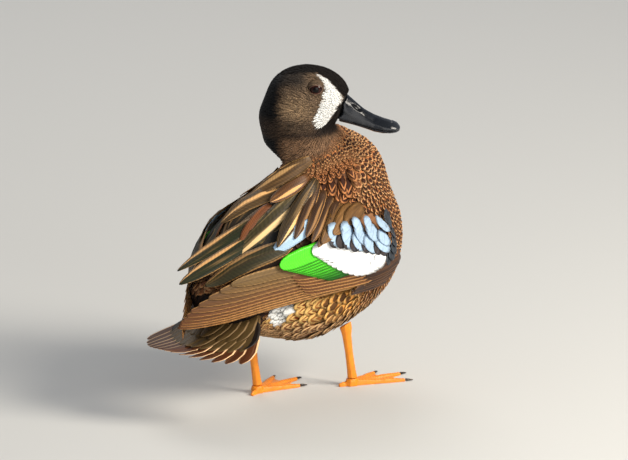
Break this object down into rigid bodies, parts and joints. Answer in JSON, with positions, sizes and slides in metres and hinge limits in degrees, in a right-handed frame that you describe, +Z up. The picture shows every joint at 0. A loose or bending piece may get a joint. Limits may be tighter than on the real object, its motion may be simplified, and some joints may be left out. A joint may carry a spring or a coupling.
{
  "type": "blue-winged teal drake",
  "caption": "Small drake standing on two webbed feet, head turned to its right, wings folded, tail fanned and drooping.",
  "frame": {"origin": "middle of the bounding box's footprint, on the floor under the feet", "axes": "+X the way the breast faces, +Y the bird's left, +Z up"},
  "size_m": [0.1996, 0.1018, 0.2182],
  "materials": {
    "head_feathers": "short matt plumage, slate and grey-brown",
    "breast_feathers": "matt plumage, tawny with dark spots",
    "back_feathers": "matt plumage, dark brown edged with buff",
    "black_feathers": "satin black-brown plumage",
    "flight_feathers": "stiff satin brown feathers",
    "wing_coverts": "satin chalky blue feathers",
    "white_feathers": "matt white plumage",
    "green_feathers": "glossy green flight feathers",
    "bill": "satin horn, blue-black",
    "eye": "wet gloss",
    "leg": "scaly orange skin",
    "claw": "dark horn"
  },
  "bodies": {
    "root": {"head": "head_feathers", "eye_right": "eye", "eye_left": "eye", "bill_upper": "bill", "bill_lower": "bill", "neck": "head_feathers", "breast": "breast_feathers", "back": "back_feathers", "belly": "breast_feathers", "rump": "back_feathers", "vent": "black_feathers", "tail": "flight_feathers", "tarsus_right": "leg", "foot_right": "leg", "claw_right_outer": "claw", "claw_right_middle": "claw", "claw_right_inner": "claw", "wing_right": "wing_coverts", "primaries_right": "flight_feathers", "scapular_1_right": "back_feathers", "scapular_2_right": "back_feathers", "scapular_3_right": "back_feathers", "tertial_1_right": "black_feathers", "tertial_2_right": "black_feathers", "tertial_3_right": "black_feathers", "tarsus_left": "leg", "foot_left": "leg", "claw_left_outer": "claw", "claw_left_middle": "claw", "claw_left_inner": "claw", "wing_left": "wing_coverts", "primaries_left": "flight_feathers", "scapular_1_left": "back_feathers", "scapular_2_left": "back_feathers", "scapular_3_left": "back_feathers", "tertial_1_left": "black_feathers", "tertial_2_left": "black_feathers", "tertial_3_left": "black_feathers"}
  },
  "joints": []
}
